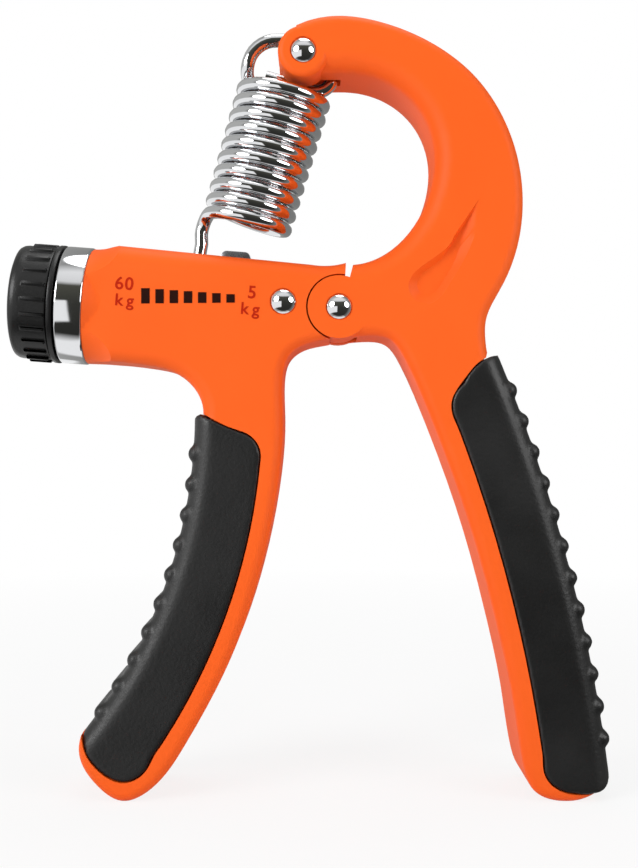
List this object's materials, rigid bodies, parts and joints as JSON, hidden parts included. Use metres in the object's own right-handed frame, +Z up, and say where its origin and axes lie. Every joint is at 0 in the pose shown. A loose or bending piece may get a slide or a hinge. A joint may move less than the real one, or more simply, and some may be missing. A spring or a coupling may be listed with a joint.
{
  "type": "hand grip strengthener",
  "caption": "Adjustable hand grip strengthener: two hinged plastic handles with soft ribbed grips, a coil spring between a hooked arm and a screw carriage, and a knob that sets its pull.",
  "frame": {"origin": "middle of the overall box in X and Y, at the height of the two feet it stands on", "axes": "+X from the knob towards the right handle, +Y to the back, +Z up, from the handles' ends to the top of the hook"},
  "size_m": [0.1198, 0.024, 0.1553],
  "materials": {
    "orange_plastic": "satin moulded plastic",
    "black_rubber": "matt soft grip",
    "black_plastic": "satin moulded plastic",
    "chrome": "bright plated",
    "steel": "plain",
    "washer_plastic": "natural nylon"
  },
  "bodies": {
    "left_arm": {"left_handle": "orange_plastic", "left_grip": "black_rubber", "chrome_ring": "chrome", "front_bush": "steel", "end_block": "steel", "block_rivet": "chrome", "pivot_bush": "steel", "pivot_washers": "washer_plastic"},
    "right_arm": {"right_handle": "orange_plastic", "right_grip": "black_rubber", "pivot_rivet": "chrome", "top_rivet": "chrome"},
    "knob_and_screw": {"knob": "black_plastic", "knob_cap": "black_plastic", "knob_screw": "steel", "adjusting_screw": "steel", "retaining_clip": "steel", "thrust_washer": "washer_plastic"},
    "carriage": {"spring_carriage": "steel", "hook_pin": "steel"},
    "loop_sleeve": {"spring_sleeve": "steel"},
    "loop_spacers": {"sleeve_spacers": "washer_plastic"},
    "spring_body": {"spring": "chrome"}
  },
  "joints": [
    {"name": "squeeze", "type": "hinge", "parent": "left_arm", "child": "right_arm", "pos_m": [0.00604, 0, 0.09755], "axis": [0, 1, 0], "range_deg": [-6, 36], "stiffness_Nm_per_rad": 6},
    {"name": "knob_turn", "type": "hinge", "parent": "left_arm", "child": "knob_and_screw", "pos_m": [-0.04986, 0, 0.09895], "axis": [-0.9973, 0, 0.0732], "range_deg": [-5851, 902]},
    {"name": "carriage_slide", "type": "slide", "parent": "left_arm", "child": "carriage", "axis": [0.9973, 0, -0.0732], "range_m": [-0.013, 0.002]},
    {"name": "loop_swing", "type": "hinge", "parent": "right_arm", "child": "loop_sleeve", "pos_m": [-0.00101, 0, 0.14805], "axis": [0, 1, 0], "range_deg": [-4.6, 0.8]},
    {"name": "loop_swing_by_knob", "type": "hinge", "parent": "loop_sleeve", "child": "loop_spacers", "pos_m": [-0.00101, 0, 0.14805], "axis": [0, 1, 0], "range_deg": [-2.4, 14.4]},
    {"name": "spring_stretch", "type": "slide", "parent": "loop_spacers", "child": "spring_body", "axis": [-0.318, 0, -0.9481], "range_m": [-0.0025, 0.0135], "deforming": ["spring"]}
  ],
  "couplings": [
    {"joint": "knob_turn", "follows": "carriage_slide", "rad_per_m": 7854},
    {"joint": "loop_swing", "follows": "squeeze", "ratio": -0.124},
    {"joint": "loop_swing_by_knob", "follows": "carriage_slide", "rad_per_m": -19.16},
    {"joint": "spring_stretch", "follows": "squeeze", "m_per_rad": 0.02117}
  ]
}
